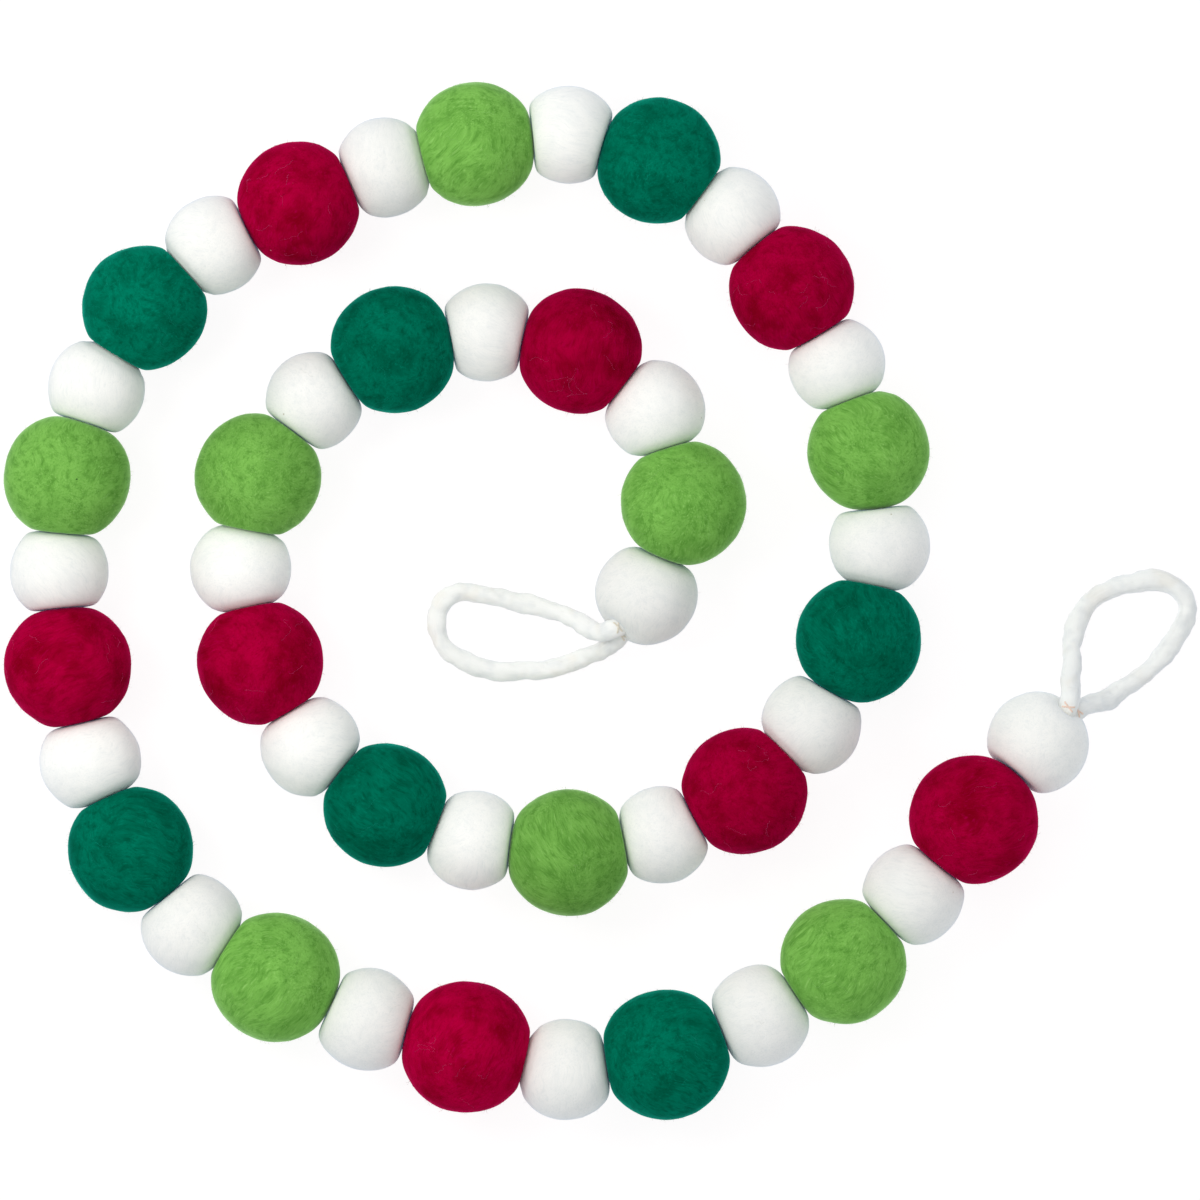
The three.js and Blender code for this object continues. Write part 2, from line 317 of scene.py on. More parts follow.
def yarnTube(name, centres, look, material):    # a closed tube of lobed rings that turn as they go
    sides = look["sides"]
    vertices, wrap = [], []
    across = None
    along = 0.0
    total = sum((far - near).length for near, far in zip(centres, centres[1:]))
    for index, centre in enumerate(centres):
        ahead = centres[min(index + 1, len(centres) - 1)] - centres[max(index - 1, 0)]
        ahead.normalize()
        across = ahead.orthogonal() if across is None else across - ahead * across.dot(ahead)
        across.normalize()
        upward = ahead.cross(across)
        if index:
            along += (centre - centres[index - 1]).length
        lump = noise.noise(Vector((along / look["lumpLength"], look["seed"], 0.0)))
        radius = look["radius"] * (1 + look["lumps"] * lump)
        fromEnd = min(along, total - along)
        if fromEnd < look["taperLength"]:
            inward = 1 - fromEnd / look["taperLength"]
            radius *= 1 - look["taper"] * inward ** 2
        turn = 2 * math.pi * along / look["twistLength"]
        for side in range(sides):
            angle = 2 * math.pi * side / sides
            lobe = look["lobeDepth"] * math.cos(look["lobes"] * (angle - turn))
            flat = look["flatness"] * math.cos(2 * angle - turn)
            out = across * math.cos(angle) + upward * math.sin(angle)
            place = centre + out * radius * (1 + lobe + flat)
            place += out * look["relief"] * noise.noise(place / look["reliefLength"])
            place.z = max(place.z, tubeClearance)
            vertices.append(place)
            wrap.append((along / mm, angle * look["radius"] / mm, look["seed"] * 10))
    faces = []
    rings = len(centres)
    for ring in range(rings - 1):
        for side in range(sides):
            following = (side + 1) % sides
            faces.append((ring * sides + side, ring * sides + following,
                          (ring + 1) * sides + following, (ring + 1) * sides + side))
    for ring, sign in ((0, -1), (rings - 1, 1)):    # rounded ends
        middle = len(vertices)
        inside = centres[-2] if ring else centres[1]
        vertices.append(centres[ring] + (centres[ring] - inside).normalized() * look["endBulge"])
        wrap.append((ring, 0, 0))
        for side in range(sides):
            pair = (ring * sides + side, ring * sides + (side + 1) % sides)
            faces.append((*pair, middle) if sign > 0 else (pair[1], pair[0], middle))
    piece = addMesh(name, vertices, faces, material)
    setAttribute(piece, "wrap", "FLOAT_VECTOR", wrap)
    return piece


# The two hanging loops of soft wool roving. The routes are the source's, with the ends a little higher.

loopInner = {
    "route": [
        (0.0240, -0.0108, 0.0226), (0.0204, -0.0117, 0.0196), (0.0164, -0.0106, 0.0150),
        (0.0098, -0.0065, 0.0088), (0.0038, -0.0038, 0.0054), (-0.0060, -0.0016, 0.0037),
        (-0.0168, 0.0007, 0.0036), (-0.0258, 0.0026, 0.0036), (-0.0330, 0.0033, 0.0036),
        (-0.0382, 0.0007, 0.0036), (-0.0412, -0.0053, 0.0036), (-0.0412, -0.0117, 0.0036),
        (-0.0382, -0.0177, 0.0036), (-0.0307, -0.0230, 0.0036), (-0.0221, -0.0260, 0.0036),
        (-0.0123, -0.0264, 0.0036), (-0.0015, -0.0260, 0.0037), (0.0075, -0.0239, 0.0042),
        (0.0154, -0.0209, 0.0060), (0.0206, -0.0189, 0.0092), (0.0243, -0.0164, 0.0128),
        (0.0277, -0.0133, 0.0164)],
    "sewn": ((0.0312, -0.0082, 0.0218), (0.0316, -0.0084, 0.0176)),    # where the ends stop inside the ball
    "length": 0.181,    # between those ends
    "fullness": 1.02,
    "seed": 3.7,
}

loopOuter = {
    "route": [
        (0.1955, -0.0387, 0.0228), (0.1964, -0.0342, 0.0200), (0.1969, -0.0260, 0.0136),
        (0.1977, -0.0162, 0.0070), (0.1995, -0.0091, 0.0044), (0.2044, -0.0008, 0.0036),
        (0.2119, 0.0044, 0.0036), (0.2217, 0.0067, 0.0036), (0.2307, 0.0074, 0.0036),
        (0.2370, 0.0048, 0.0036), (0.2408, -0.0008, 0.0036), (0.2397, -0.0091, 0.0036),
        (0.2348, -0.0162, 0.0036), (0.2280, -0.0245, 0.0036), (0.2202, -0.0308, 0.0041),
        (0.2119, -0.0363, 0.0072), (0.2042, -0.0394, 0.0124), (0.1997, -0.0412, 0.0160)],
    "sewn": ((0.1929, -0.0442, 0.0226), (0.1944, -0.0450, 0.0178)),
    "length": 0.165,
    "fullness": 1.08,
    "seed": 8.2,
}

rovingLook = {
    "radius": 3.4 * mm, "sides": 24, "lumps": 0.13, "lumpLength": 9 * mm, "twistLength": 34 * mm,
    "lobes": 3, "lobeDepth": 0.03, "flatness": 0.07, "relief": 0.45 * mm, "reliefLength": 3.2 * mm,
    "taper": 0.30, "taperLength": 6 * mm, "endBulge": 0.9 * mm,
    "ringSpacing": 0.9 * mm, "stillRings": 10, "wander": 0.75 * mm, "wanderLength": 10 * mm,
    "rootTintReach": 8 * mm,
}

rovingPattern = {
    "main": (0.90, 0.91, 0.895), "dark": (0.79, 0.81, 0.815), "light": (0.94, 0.935, 0.92),
    # a darker, warmer tint laid over the roving in patches towards its sewn ends
    "warm": (0.84, 0.80, 0.72), "rootTint": (0.66, 0.64, 0.52),
    "cloudScale": 160.0, "cloudEdge": (0.45, 0.7), "clouds": 0.7,
    "warmScale": 90.0, "warmEdge": (0.5, 0.72), "warmth": 0.4,
    "strandTurn": (0, 0, 0.45), "strandScale": (0.16, 1.5, 1.0), "strandEdge": (0.5, 0.7), "strands": 0.5,
    "rootTintEdge": (0.30, 0.62), "rootTintRange": (0.15, 0.75),
    "grainScale": 2400.0, "grainHeight": 0.3, "bump": 0.5, "bumpDepth": 0.22 * mm,
    "roughness": 0.92, "sheen": 0.25, "sheenTint": (0.78, 0.85, 1.0),
}


def rovingMaterial():
    look = rovingPattern
    material, tree, shader = newMaterial("softWoolRoving")
    place = addNode(tree, "ShaderNodeTexCoord").outputs["Object"]
    slanted = addNode(tree, "ShaderNodeMapping", {
        "Vector": attribute(tree, "wrap", "Vector"), "Rotation": look["strandTurn"],
        "Scale": look["strandScale"]})
    strands = noiseAt(tree, slanted.outputs[0], 1.0, 3.0, 0.55)
    clouds = noiseAt(tree, place, look["cloudScale"])
    warmth = noiseAt(tree, place, look["warmScale"])
    grain = noiseAt(tree, place, look["grainScale"])
    colour = opaque(look["main"])
    colour = tinted(tree, colour, clouds, look["cloudEdge"], look["clouds"], look["dark"])
    colour = tinted(tree, colour, warmth, look["warmEdge"], look["warmth"], look["warm"])
    colour = tinted(tree, colour, strands, look["strandEdge"], look["strands"], look["light"])
    # the roving turns darker and warmer in patches towards its sewn ends
    rootTinted = calc(tree, "MULTIPLY", attribute(tree, "rootTint"),
                   stepped(tree, clouds, *look["rootTintEdge"], *look["rootTintRange"]))
    height = calc(tree, "ADD", strands, calc(tree, "MULTIPLY", grain, look["grainHeight"]))
    bump = addNode(tree, "ShaderNodeBump", {"Strength": look["bump"], "Distance": look["bumpDepth"],
                                            "Height": height})
    feedAll(tree, shader, {
        "Base Color": mixed(tree, rootTinted, colour, opaque(look["rootTint"])), "Normal": bump.outputs["Normal"],
        "Roughness": look["roughness"], "Specular IOR Level": 0.0, "Sheen Weight": look["sheen"],
        "Sheen Tint": opaque(look["sheenTint"])})
    return material


rovingWool = rovingMaterial()


def makeLoop(name, loop, node):
    first, last = loop["sewn"]
    points = [Vector(point) for point in (first, *loop["route"], last)]
    centres = smoothRoute(points, rovingLook["ringSpacing"])
    for index, centre in enumerate(centres):
        free = min(1.0, min(index, len(centres) - 1 - index) / rovingLook["stillRings"])
        place = centre / rovingLook["wanderLength"]
        sway = [noise.noise(place + Vector((loop["seed"], part, 0.0))) for part in (0.0, 50.0)]
        centre += Vector((*sway, 0.0)) * rovingLook["wander"] * free
    thickness = {"seed": loop["seed"], "radius": rovingLook["radius"] * loop["fullness"]}
    piece = yarnTube(name, centres, {**rovingLook, **thickness}, rovingWool)
    # how near each point is to a sewn end, for the darker, warmer tint there
    rootTint = []
    for vertex in piece.data.vertices:
        fromRoot = min((vertex.co - centres[0]).length, (vertex.co - centres[-1]).length)
        rootTint.append(max(0.0, 1 - fromRoot / rovingLook["rootTintReach"]))
    setAttribute(piece, "rootTint", "FLOAT", rootTint)
    loop["centres"] = centres
    loop["skin"] = BVHTree.FromPolygons([vertex.co for vertex in piece.data.vertices],
                                        [face.vertices[:] for face in piece.data.polygons])
    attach(piece, "root")
    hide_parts(node)
    return piece


loops = [makeLoop("innerHangingLoop", loopInner, "loop_inner"),
         makeLoop("outerHangingLoop", loopOuter, "loop_outer")]
print("loops made")


# The felted balls. Each one's size and place come from its CAD node, and the press rule is the source's.

ballLook = {
    "whiteSharpness": 22, "colouredSharpness": 30,    # how tightly the skin turns at a contact
    "gap": 0.08 * mm, "colouredShare": 0.6, "restingHeight": 0.95, "restingBelow": 0.5 * mm,
    "facing": 0.2, "widest": 0.7,    # how far round a ball a contact is felt
    "pressedFrom": 0.68, "pressedOver": 0.14, "groundedBelow": 2 * mm,    # where the lumps and fuzz fade
    "sag": (-0.8 * mm, 2.6 * mm),    # how far a white ball bulges into its neighbour
    "rootPress": 0.84, "rootWidth": 0.36, "rootSides": {0: (-0.69, -0.72, 0.0), -1: (0.63, 0.78, 0.0)},
    "dentRise": 0.30,
    "colouredCells": 30, "whiteCells": 24,    # quads along a cube's edge
    "patternStep": 150.0,                     # mm along the pattern from ball to ball
    "lumps": ((19 * mm, 0.50 * mm), (7.5 * mm, 0.17 * mm), (3.4 * mm, 0.07 * mm)),    # wavelength, height
    "seed": 12,
}


def readBalls():
    balls = []
    for node in sorted(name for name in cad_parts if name.startswith("ball_")):
        low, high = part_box(node)
        pole = max((vertex.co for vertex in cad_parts[node].data.vertices), key=lambda place: place.z)
        resting = low.z < ballLook["restingBelow"]
        radius = high.z / (1 + ballLook["restingHeight"]) if resting else (high.z - low.z) / 2
        wool = node.split("_")[2]
        balls.append({"node": node, "wool": wool, "radius": radius,
                      "sharpness": ballLook["whiteSharpness" if wool == "white" else "colouredSharpness"],
                      "centre": Vector((pole.x, pole.y, high.z - radius)), "presses": [], "dents": []})
    return balls


def pressBall(ball, direction, distance, sag, contact):
    sharp = -ball["sharpness"]
    reach = (distance ** sharp - ball["radius"] ** sharp) ** (1 / sharp)
    ball["presses"].append((direction, reach, sag / contact ** 2, contact))


def pressNeighbours(balls):    # returns where the string passes from ball to ball
    passages = []
    dice = random.Random(ballLook["seed"])
    for ball, following in zip(balls, balls[1:]):
        sag = dice.uniform(*ballLook["sag"])
        along = following["centre"] - ball["centre"]
        room = along.length - ballLook["gap"]
        along.normalize()
        whiteReach = (1 - ballLook["colouredShare"]) * room
        if ball["wool"] == "white":
            share = 1 - ballLook["colouredShare"]
            contact = math.sqrt(ball["radius"] ** 2 - whiteReach ** 2)
        else:
            share = ballLook["colouredShare"]
            contact = math.sqrt(following["radius"] ** 2 - whiteReach ** 2)
            sag = -sag
        pressBall(ball, along, share * room, sag, contact)
        pressBall(following, -along, (1 - share) * room, -sag, contact)
        passages.append(ball["centre"] + along * (share * room + ballLook["gap"] / 2))
    return passages


def pressRoots(balls):    # dimples where the loops are sewn on
    ends = []
    for index, side in ballLook["rootSides"].items():
        ball = balls[index]
        side = Vector(side).normalized()
        ball["dents"].append((side + Vector((0.0, 0.0, ballLook["dentRise"]))).normalized())
        ends.append(ball["centre"] + side * ballLook["rootPress"] * ball["radius"])
    return ends


def skinRadius(ball, direction):    # the skin's distance from the middle, and how pressed it is there
    total = ball["radius"] ** -ball["sharpness"]
    pressed = 0.0
    for side, reach, curve, contact in ball["presses"]:
        facing = direction.dot(side)
        if facing > ballLook["facing"]:
            aside = min(reach * math.sqrt(1 / facing ** 2 - 1), ballLook["widest"] * ball["radius"])
            total += ((reach + curve * (contact ** 2 - aside ** 2)) / facing) ** -ball["sharpness"]
            pressed = max(pressed, min(1.0, (facing - ballLook["pressedFrom"]) / ballLook["pressedOver"]))
    radius = total ** (-1 / ball["sharpness"])
    for side in ball["dents"]:
        share = math.exp(-(direction.angle(side) / ballLook["rootWidth"]) ** 2)
        radius -= (1 - ballLook["rootPress"]) * ball["radius"] * share
    return radius, pressed


def cubeSphere(cells):    # unit directions and quads of a cube's faces blown up to a sphere
    index, directions, faces = {}, [], []

    def corner(key):
        if key not in index:
            index[key] = len(directions)
            directions.append(Vector([math.tan(math.pi / 4 * step / cells) for step in key]).normalized())
        return index[key]

    for axis in range(3):
        for sign in (1, -1):
            for row in range(cells):
                for column in range(cells):
                    quad = []
                    for u, v in ((row, column), (row + 1, column), (row + 1, column + 1), (row, column + 1)):
                        key = [0, 0, 0]
                        key[axis] = sign * cells
                        key[(axis + 1) % 3] = 2 * u - cells
                        key[(axis + 2) % 3] = 2 * v - cells
                        quad.append(corner(tuple(key)))
                    faces.append(quad if sign > 0 else quad[::-1])
    return directions, faces


def makeBall(number, ball, grid):
    dice = random.Random(ballLook["seed"] + number)
    spin = Euler([dice.uniform(0, math.tau) for _ in range(3)]).to_matrix()
    own = Vector((ballLook["patternStep"] * number, 40.0, 0.0))
    directions, faces = grid
    vertices, felt, press = [], [], []
    for raw in directions:
        direction = spin @ raw
        radius, pressed = skinRadius(ball, direction)
        local = raw * radius
        lift = sum(height * noise.noise(local / wave + own) for wave, height in ballLook["lumps"])
        place = ball["centre"] + direction * (radius + lift * (1 - pressed))
        grounded = max(0.0, 1 - place.z / ballLook["groundedBelow"])
        place.z = max(place.z, 0.0)
        vertices.append(place)
        felt.append(local / mm + own)
        press.append(max(pressed, grounded))
    name = ball["node"].replace("_" + ball["wool"], "_felt_" + ball["wool"])
    piece = addMesh(name, vertices, faces, feltOf[ball["wool"]])
    setAttribute(piece, "felt", "FLOAT_VECTOR", felt)
    setAttribute(piece, "press", "FLOAT", press)
    shade = dice.uniform(-1, 1) * woolLooks[ball["wool"]]["spread"]
    setAttribute(piece, "shade", "FLOAT", [shade] * len(vertices))
    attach(piece, "root")
    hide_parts(ball["node"])
    return piece


balls = readBalls()
passages = pressNeighbours(balls)
rootEnds = pressRoots(balls)
colouredGrid = cubeSphere(ballLook["colouredCells"])
whiteGrid = cubeSphere(ballLook["whiteCells"])
for number, ball in enumerate(balls):
    ball["piece"] = makeBall(number, ball, whiteGrid if ball["wool"] == "white" else colouredGrid)
print("balls made", len(balls))


# The string that carries the balls, a twisted three-ply thread.

stringLook = {
    "radius": 0.8 * mm, "sides": 12, "lumps": 0.02, "lumpLength": 20 * mm, "twistLength": 6 * mm,
    "lobes": 3, "lobeDepth": 0.10, "flatness": 0.0, "relief": 0.0, "reliefLength": 5 * mm,
    "taper": 0.3, "taperLength": 1.5 * mm, "endBulge": 0.3 * mm, "seed": 1.0,
    "ringSpacing": 1.2 * mm, "colour": (0.78, 0.75, 0.68),
}


def makeString():
    thread = plainWool("stringThread", stringLook["colour"], grainScale=900.0, grain=0.10)
    centres = evenSteps([rootEnds[0], *passages, rootEnds[1]], stringLook["ringSpacing"])
    piece = yarnTube("carryingString", centres, stringLook, thread)
    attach(piece, "root")
    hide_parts("string")


makeString()
print("string made")


# Sewing thread that holds each loop's two ends to its ball: two crossed arcs over each end.

stitchLook = {
    "radius": 0.30 * mm, "sides": 8, "lumps": 0.06, "lumpLength": 3 * mm, "twistLength": 2.4 * mm,
    "lobes": 2, "lobeDepth": 0.12, "flatness": 0.0, "relief": 0.0, "reliefLength": 5 * mm,
    "taper": 0.2, "taperLength": 0.6 * mm, "endBulge": 0.1 * mm, "seed": 5.0,
    "overEnd": (6, -7), "slants": (1.1 * mm, -1.1 * mm), "steps": 12,
    "lowest": 0.27,                   # where a stitch leaves the wool, as a share of a half turn
    "lift": 0.5, "sunk": -1.5,        # of the thread's radius off the wool, between the ends and at them
    "ringSpacing": 0.4 * mm,
}

stitchColours = {"inner": (0.78, 0.73, 0.62), "outer": (0.86, 0.66, 0.56)}


def makeStitches(name, loop, colour):
    thread = plainWool(name + "Thread", colour, grainScale=900.0, grain=0.12)
    for end in stitchLook["overEnd"]:
        middle = loop["centres"][end]
        ahead = (loop["centres"][0 if end > 0 else -1] - middle).normalized()
        aside = ahead.cross(Vector((0.0, 0.0, 1.0))).normalized()
        upward = aside.cross(ahead)
        for number, slant in enumerate(stitchLook["slants"]):
            arc = []
            for step in range(stitchLook["steps"] + 1):
                share = step / stitchLook["steps"]
                angle = math.pi * (stitchLook["lowest"] + (1 - 2 * stitchLook["lowest"]) * share)
                out = aside * math.cos(angle) + upward * math.sin(angle)
                skin = loop["skin"].ray_cast(middle + ahead * slant * (1 - 2 * share), out)[0]
                lift = stitchLook["lift" if 0 < share < 1 else "sunk"]
                arc.append(skin + out * stitchLook["radius"] * lift)
            side = "Upper" if end > 0 else "Lower"
            arc = evenSteps(arc, stitchLook["ringSpacing"])
            piece = yarnTube(f"{name}{side}Stitch{number + 1}", arc, stitchLook, thread)
            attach(piece, "root")


makeStitches("innerRoot", loopInner, stitchColours["inner"])
makeStitches("outerRoot", loopOuter, stitchColours["outer"])
print("stitches made")


# Wool fibres that stand off the felt, and stray ones that lie on it.

def treeInputs(tree, rows):
    tree.interface.new_socket("Geometry", in_out="INPUT", socket_type="NodeSocketGeometry")
    for name, kind in rows:
        tree.interface.new_socket(name, in_out="INPUT", socket_type="NodeSocket" + kind)
    tree.interface.new_socket("Geometry", in_out="OUTPUT", socket_type="NodeSocketGeometry")
    return tree.nodes.new("NodeGroupInput").outputs, tree.nodes.new("NodeGroupOutput").inputs


def randomValue(tree, kind, low, high, seed):
    node = addNode(tree, "FunctionNodeRandomValue", data_type=kind)
    shown = [socket for socket in node.inputs if socket.enabled]
    for socket, value in zip(shown, (low, high)):
        feed(tree, socket, value)
    feed(tree, node.inputs["Seed"], seed)
    return [socket for socket in node.outputs if socket.enabled][0]


def namedValue(tree, name):
    node = addNode(tree, "GeometryNodeInputNamedAttribute", {"Name": name}, data_type="FLOAT")
    return [socket for socket in node.outputs if socket.enabled][0]


def taperedTube(tree, curve, radius, keep):
    share = addNode(tree, "GeometryNodeSplineParameter").outputs["Factor"]
    ring = addNode(tree, "GeometryNodeCurvePrimitiveCircle", {"Resolution": 3, "Radius": radius})
    size = calc(tree, "MULTIPLY_ADD", share, keep - 1.0, 1.0)
    tube = addNode(tree, "GeometryNodeCurveToMesh", {"Curve": curve, "Profile Curve": ring.outputs["Curve"],
                                                     "Scale": size, "Fill Caps": True})
    return tube.outputs["Mesh"]


growth = {
    "pressFade": 1.6, "clearance": 0.02 * mm,    # where fibres thin out, and their least height
    "hair": ((0, 0, -0.06), (0.05, 0, 0.55), (0.55, 0, 0.75)),    # a fibre of length 1 that bows over
    "hairTip": 0.35, "hairSizes": (0.5, 1.4, 5),    # shortest, longest and seed
    "waveScale": 900.0,
    "strayPoints": 26, "strayTip": 0.6, "straySizes": (0.4, 1.5, 8),
    "riseScale": 450.0, "riseFrom": 0.38,    # where a stray fibre lifts off the felt
}


def openSkin(tree):    # 1 on free skin, 0 where a ball is pressed or stands
    free = calc(tree, "MULTIPLY_ADD", namedValue(tree, "press"), -growth["pressFade"], 1.0)
    return calc(tree, "MAXIMUM", free, 0.0)


def moved(tree, geometry, **how):    # Offset or Position for each point
    node = addNode(tree, "GeometryNodeSetPosition", {"Geometry": geometry, **how})
    return node.outputs["Geometry"]


def wander(tree, scale, detail=2.0):    # a noise vector about zero
    shift = addNode(tree, "ShaderNodeTexNoise", {"Scale": scale, "Detail": detail}).outputs["Color"]
    return vectorCalc(tree, "SUBTRACT", shift, (0.5, 0.5, 0.5))


def finishTree(tree, geometry, given, result):    # keeps fibres off the surface and gives them their wool
    place = addNode(tree, "GeometryNodeInputPosition").outputs["Position"]
    lowest = (-1.0, -1.0, growth["clearance"])
    raised = moved(tree, geometry, Position=vectorCalc(tree, "MAXIMUM", place, lowest))
    clothed = addNode(tree, "GeometryNodeSetMaterial", {"Geometry": raised, "Material": given["Wool"]})
    tree.links.new(clothed.outputs["Geometry"], result["Geometry"])


def spreadOut(tree, given, instance, tilt, shortest, longest, seed):    # a fibre at each point
    perArea = calc(tree, "MULTIPLY", given["Fibres per square cm"], 1e4)
    points = addNode(tree, "GeometryNodeDistributePointsOnFaces", {
        "Mesh": given["Geometry"], "Density": calc(tree, "MULTIPLY", perArea, openSkin(tree)),
        "Seed": given["Seed"]})
    rotation = addNode(tree, "FunctionNodeRotateRotation", {
        "Rotation": points.outputs["Rotation"],
        "Rotate By": randomValue(tree, "FLOAT_VECTOR", *tilt, given["Seed"])}, rotation_space="LOCAL")
    size = calc(tree, "MULTIPLY", given["Fibre length"], randomValue(tree, "FLOAT", shortest, longest, seed))
    placed = addNode(tree, "GeometryNodeInstanceOnPoints", {
        "Points": points.outputs["Points"], "Instance": instance, "Rotation": rotation.outputs["Rotation"],
        "Scale": size})
    return addNode(tree, "GeometryNodeRealizeInstances", {"Geometry": placed.outputs["Instances"]}).outputs[0]


def fuzzTree():
    tree = bpy.data.node_groups.new("standingFuzz", "GeometryNodeTree")
    given, result = treeInputs(tree, (("Fibres per square cm", "Float"), ("Fibre length", "Float"),
                                      ("Fibre thickness", "Float"), ("Lean", "Float"), ("Waviness", "Float"),
                                      ("Seed", "Int"), ("Wool", "Material")))
    start, middle, end = growth["hair"]
    bend = addNode(tree, "GeometryNodeCurveQuadraticBezier", {"Resolution": 3, "Start": start,
                                                              "Middle": middle, "End": end})
    share = addNode(tree, "GeometryNodeSplineParameter").outputs["Factor"]
    marked = addNode(tree, "GeometryNodeStoreNamedAttribute", {
        "Geometry": bend.outputs["Curve"], "Name": "tip", "Value": share}, data_type="FLOAT", domain="POINT")
    double = calc(tree, "MULTIPLY", given["Fibre length"], 2.0)
    relative = calc(tree, "DIVIDE", given["Fibre thickness"], double)    # radius over length
    hair = taperedTube(tree, marked.outputs["Geometry"], relative, growth["hairTip"])
    lean = given["Lean"]
    back = calc(tree, "MULTIPLY", lean, -1.0)
    tilt = [addNode(tree, "ShaderNodeCombineXYZ", {"X": edge, "Y": edge, "Z": turn}).outputs[0]
            for edge, turn in ((back, -math.pi), (lean, math.pi))]
    fuzz = spreadOut(tree, given, hair, tilt, *growth["hairSizes"])
    reach = calc(tree, "MULTIPLY", namedValue(tree, "tip"), given["Waviness"])
    wave = wander(tree, growth["waveScale"])
    fuzz = moved(tree, fuzz, Offset=vectorCalc(tree, "SCALE", wave, scale=reach))
    finishTree(tree, fuzz, given, result)
    return tree


def strayTree():
    tree = bpy.data.node_groups.new("strayFibres", "GeometryNodeTree")
    given, result = treeInputs(tree, (("Fibres per square cm", "Float"), ("Fibre length", "Float"),
                                      ("Fibre thickness", "Float"), ("Curl", "Float"), ("Curl size", "Float"),
                                      ("Crimp", "Float"), ("Crimp size", "Float"), ("Lift", "Float"),
                                      ("Seed", "Int"), ("Wool", "Material")))
    line = addNode(tree, "GeometryNodeCurvePrimitiveLine", {"Start": (-0.5, 0, 0), "End": (0.5, 0, 0)})
    cut = addNode(tree, "GeometryNodeResampleCurve", {"Curve": line.outputs["Curve"],
                                                      "Count": growth["strayPoints"]})
    anyTurn = ((0, 0, -math.pi), (0, 0, math.pi))
    fibre = spreadOut(tree, given, cut.outputs["Curve"], anyTurn, *growth["straySizes"])
    for size, amount in (("Curl size", "Curl"), ("Crimp size", "Crimp")):
        shift = wander(tree, calc(tree, "DIVIDE", 1.0, given[size]), 0.0)
        fibre = moved(tree, fibre, Offset=vectorCalc(tree, "SCALE", shift, scale=given[amount]))
    near = addNode(tree, "GeometryNodeProximity", {"Geometry": given["Geometry"]}, target_element="FACES")
    normal = addNode(tree, "GeometryNodeInputNormal").outputs["Normal"]
    facing = addNode(tree, "GeometryNodeSampleNearestSurface", {"Mesh": given["Geometry"]},
                     data_type="FLOAT_VECTOR")
    tree.links.new(normal, facing.inputs["Value"])
    rise = addNode(tree, "ShaderNodeTexNoise", {"Scale": growth["riseScale"]}).outputs["Fac"]
    rise = calc(tree, "MULTIPLY", calc(tree, "SUBTRACT", rise, growth["riseFrom"]), given["Lift"])
    lift = vectorCalc(tree, "SCALE", facing.outputs["Value"], scale=rise)
    fibre = moved(tree, fibre, Position=vectorCalc(tree, "ADD", near.outputs["Position"], lift))
    radius = calc(tree, "MULTIPLY", given["Fibre thickness"], 0.5)
    finishTree(tree, taperedTube(tree, fibre, radius, growth["strayTip"]), given, result)
    return tree


def joinedSkin(name, pieces):    # one mesh of several pieces' skins, with their press values
    vertices, faces, press = [], [], []
    for piece in pieces:
        start = len(vertices)
        vertices.extend(vertex.co.copy() for vertex in piece.data.vertices)
        faces.extend([start + corner for corner in face.vertices] for face in piece.data.polygons)
        layer = piece.data.attributes.get("press")
        press.extend([item.value for item in layer.data] if layer else [0.0] * len(piece.data.vertices))
    skin = addMesh(name, vertices, faces, None)
    setAttribute(skin, "press", "FLOAT", press)
    return skin


def grow(name, tree, skin, values):
    modifier = skin.modifiers.new("grow", "NODES")
    modifier.node_group = tree
    for item in tree.interface.items_tree:
        if item.in_out == "INPUT" and item.name in values:
            modifier[item.identifier] = values[item.name]
    evaluated = skin.evaluated_get(bpy.context.evaluated_depsgraph_get())
    mesh = bpy.data.meshes.new_from_object(evaluated)
    mesh.name = name
    skin.modifiers.remove(modifier)
    piece = bpy.data.objects.new(name, mesh)
    bpy.context.scene.collection.objects.link(piece)
    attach(piece, "root")
    print(name, len(mesh.polygons), "faces")


fibreLooks = {
    "white": {"fuzz": (0.86, 0.86, 0.84), "density": 4.0, "stray": (0.70, 0.70, 0.68), "strays": 0.05},
    "lime": {"fuzz": (0.26, 0.50, 0.12), "density": 8.0, "stray": (0.30, 0.58, 0.17), "strays": 0.25},
    "red": {"fuzz": (0.46, 0.0, 0.05), "density": 8.0, "stray": (0.58, 0.06, 0.19), "strays": 0.5},
    "green": {"fuzz": (0.0, 0.22, 0.14), "density": 8.0, "stray": (0.01, 0.26, 0.18), "strays": 0.5},
}


fuzzShape = {"Fibre length": 1.5 * mm, "Fibre thickness": 0.06 * mm, "Lean": 1.15, "Waviness": 0.9 * mm}

strayShape = {"Fibre length": 7 * mm, "Fibre thickness": 0.09 * mm, "Curl": 9 * mm, "Curl size": 6 * mm,
              "Crimp": 1.6 * mm, "Crimp size": 1.1 * mm, "Lift": 0.4 * mm}

loopFuzz = {"Fibres per square cm": 14.0, "Fibre length": 1.6 * mm, "Fibre thickness": 0.07 * mm, "Lean": 1.2,
            "Waviness": 1.0 * mm, "Seed": 40}


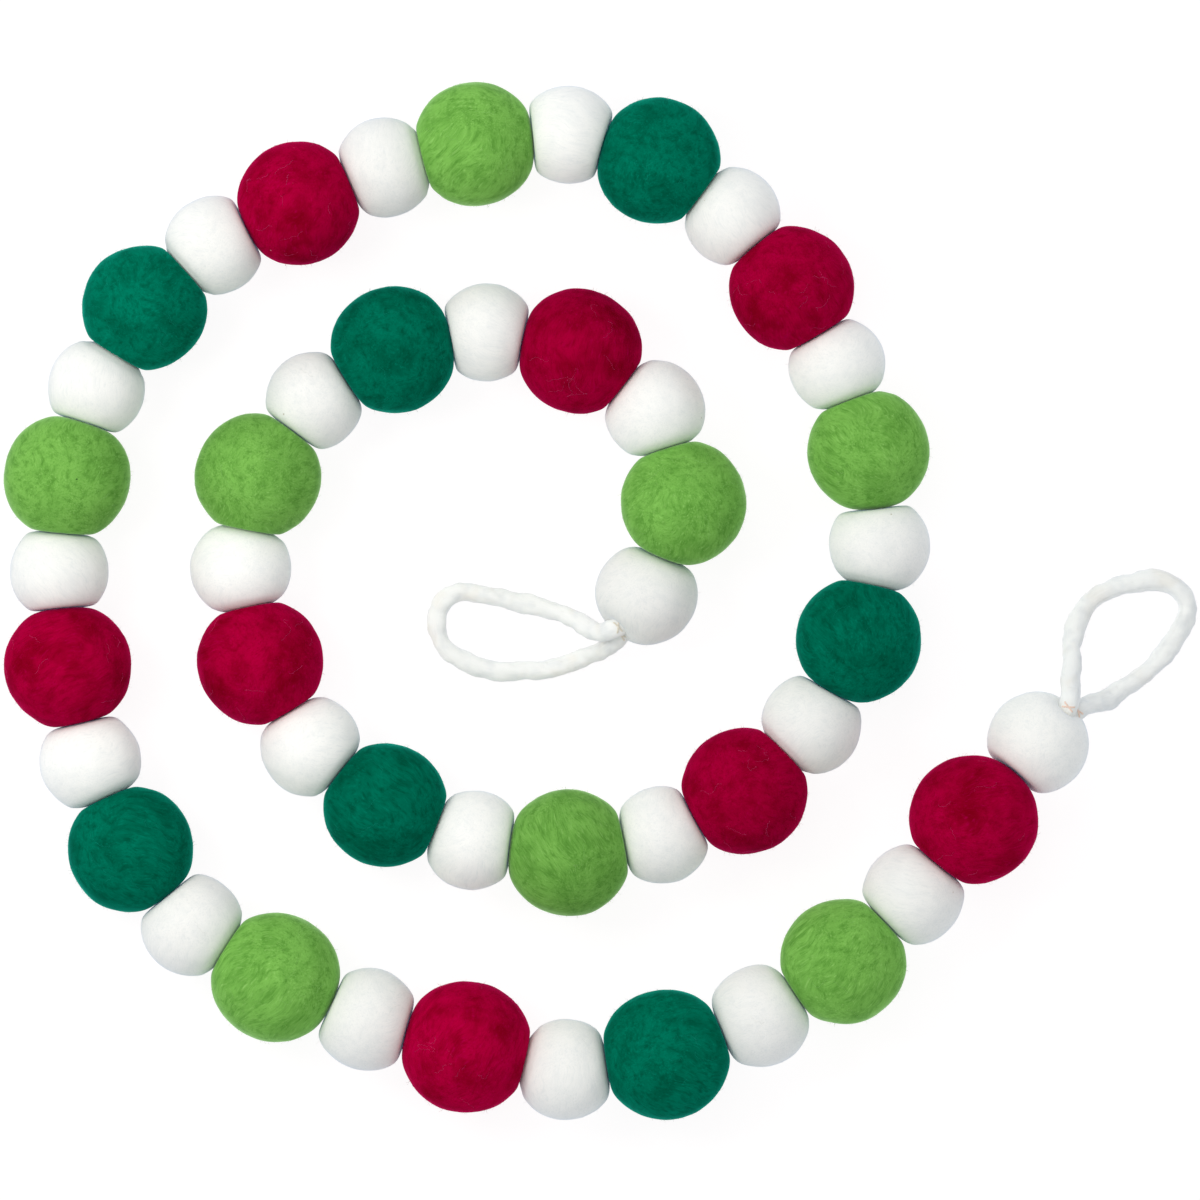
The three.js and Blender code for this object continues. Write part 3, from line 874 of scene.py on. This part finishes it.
def growFibres():
    fuzz = fuzzTree()
    strays = strayTree()
    for seed, (wool, look) in enumerate(fibreLooks.items()):
        skin = joinedSkin(wool + "Skin", [ball["piece"] for ball in balls if ball["wool"] == wool])
        fuzzWool = plainWool(wool + "FuzzWool", look["fuzz"], grainScale=300.0, grain=0.2)
        grow(wool + "Fuzz", fuzz, skin, {**fuzzShape, "Fibres per square cm": look["density"], "Seed": seed,
                                         "Wool": fuzzWool})
        strayWool = plainWool(wool + "StrayWool", look["stray"], grainScale=300.0, grain=0.2)
        grow(wool + "Strays", strays, skin, {**strayShape, "Fibres per square cm": look["strays"],
                                             "Seed": seed + 10, "Wool": strayWool})
        bpy.data.objects.remove(skin)
    skin = joinedSkin("loopSkin", loops)
    fuzzWool = plainWool("loopFuzzWool", (0.88, 0.87, 0.85), grainScale=300.0, grain=0.1)
    grow("loopFuzz", fuzz, skin, {**loopFuzz, "Wool": fuzzWool})
    bpy.data.objects.remove(skin)


growFibres()
print("fibres grown")


# Plain pale floor and soft studio light.

studio = {
    "floorSize": 6.0, "floorDrop": 0.1 * mm, "floorColour": (0.16, 0.16, 0.16),
    "floorGlow": (0.857, 0.87, 0.896),              # a lit table, as the wool sees it
    "floorSeen": (0.895, 0.882, 0.886),             # and as the camera does
    "overhead": (1.0, 0.99, 0.965), "overheadLight": 0.89,
    "horizon": (0.64, 0.81, 1.0), "horizonLight": 0.38,
    "lampColour": (1.0, 0.98, 0.94),
    "lamps": {                                  # place, width and power
        "sideLamp": ((-0.52, 0.16, 0.72), 0.4, 2.65),
        "topLamp": ((-0.3, 2.0, 2.4), 1.8, 14.0),
    },
}


def makeStudio():
    half = studio["floorSize"] / 2
    paper, tree, shader = newMaterial("palePaper")
    place = addNode(tree, "ShaderNodeTexCoord").outputs["Object"]
    tone = calc(tree, "MULTIPLY_ADD", noiseAt(tree, place, 3.0), 0.01, 0.995)
    seen = addNode(tree, "ShaderNodeLightPath").outputs["Is Camera Ray"]
    glow = mixed(tree, seen, opaque(studio["floorGlow"]), opaque(studio["floorSeen"]))
    feedAll(tree, shader, {
        "Base Color": vectorCalc(tree, "SCALE", studio["floorColour"], scale=tone), "Roughness": 0.9,
        "Specular IOR Level": 0.1, "Emission Color": glow, "Emission Strength": 1.0})
    level = -studio["floorDrop"]
    corners = [(-half, -half, level), (half, -half, level), (half, half, level), (-half, half, level)]
    addMesh("paleFloor", corners, [(0, 1, 2, 3)], paper, smooth=False)
    room = bpy.data.worlds.new("softRoom")
    room.use_nodes = True
    sky = room.node_tree
    way = addNode(sky, "ShaderNodeTexCoord").outputs["Generated"]
    rise = addNode(sky, "ShaderNodeSeparateXYZ", {"Vector": way}).outputs["Z"]
    share = calc(sky, "MAXIMUM", rise, 0.0)
    horizon = [studio["horizonLight"] * channel for channel in studio["horizon"]]
    overhead = [studio["overheadLight"] * channel for channel in studio["overhead"]]
    light = mixed(sky, share, opaque(horizon), opaque(overhead))
    sky.links.new(light, sky.nodes["Background"].inputs["Color"])
    bpy.context.scene.world = room
    for name, (place, size, power) in studio["lamps"].items():
        lamp = bpy.data.lights.new(name, "AREA")
        lamp.shape = "DISK"
        lamp.size = size
        lamp.energy = power
        lamp.color = studio["lampColour"]
        holder = bpy.data.objects.new(name, lamp)
        holder.location = place
        holder.rotation_euler = (-Vector(place)).to_track_quat("-Z", "Y").to_euler()
        bpy.context.scene.collection.objects.link(holder)
    bpy.context.scene.view_settings.view_transform = "Standard"


makeStudio()
print("studio made")
